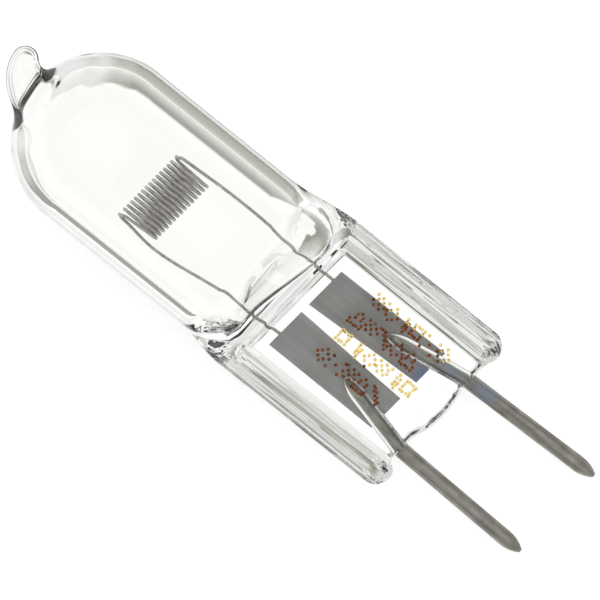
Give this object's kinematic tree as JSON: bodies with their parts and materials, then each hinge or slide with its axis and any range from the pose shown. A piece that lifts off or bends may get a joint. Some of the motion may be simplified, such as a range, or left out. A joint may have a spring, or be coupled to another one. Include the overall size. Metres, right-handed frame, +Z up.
{
  "type": "halogen capsule bulb",
  "caption": "Clear quartz capsule bulb: round bulb with a flat coiled filament, pressed seal with side ribs and sealing foils, and round contact pins that plug into a lamp holder.",
  "frame": {"origin": "on the surface that the bulb lies on, under the middle of its box", "axes": "+X along the lamp towards its pins, which dip to the surface, +Y across the flat seal, +Z up"},
  "size_m": [0.0436, 0.012, 0.013],
  "materials": {
    "quartz": "clear",
    "tungsten": "satin",
    "foil": "satin",
    "pin": "satin"
  },
  "bodies": {
    "root": {"envelope": "quartz", "filament": "tungsten", "foil_left": "foil", "foil_right": "foil", "pin_left": "pin", "pin_right": "pin"}
  },
  "joints": []
}
